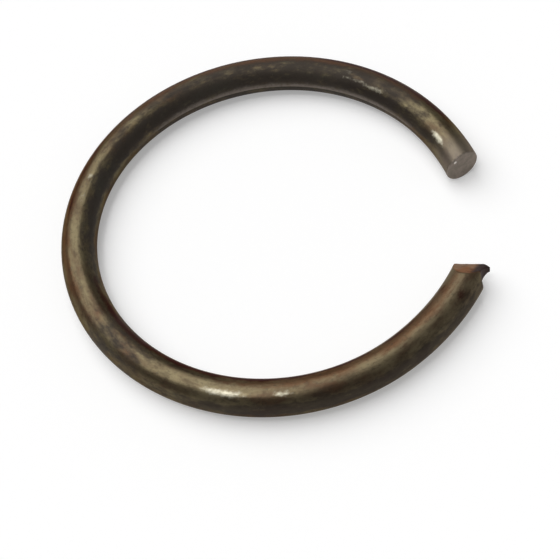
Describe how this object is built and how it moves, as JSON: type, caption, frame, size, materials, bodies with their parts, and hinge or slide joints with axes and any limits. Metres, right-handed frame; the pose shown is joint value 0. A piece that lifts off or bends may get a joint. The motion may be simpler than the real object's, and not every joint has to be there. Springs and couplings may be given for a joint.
{
  "type": "gudgeon pin clip",
  "caption": "Open round-wire snap ring that locks a gudgeon pin in a piston: one end cut flush, the other pinched to a wedge with a small spur.",
  "frame": {"origin": "centre of the ring, at the middle of the wire's thickness", "axes": "+Z along the ring's axis, +X out through the middle of the mouth, +Y towards the flush end"},
  "size_m": [0.0237, 0.024, 0.002],
  "materials": {
    "spring_steel": "oil-blackened spring steel wire with an olive sheen, worn bright on its high spots"
  },
  "bodies": {
    "root": {"gudgeon_pin_clip": "spring_steel"}
  },
  "joints": []
}
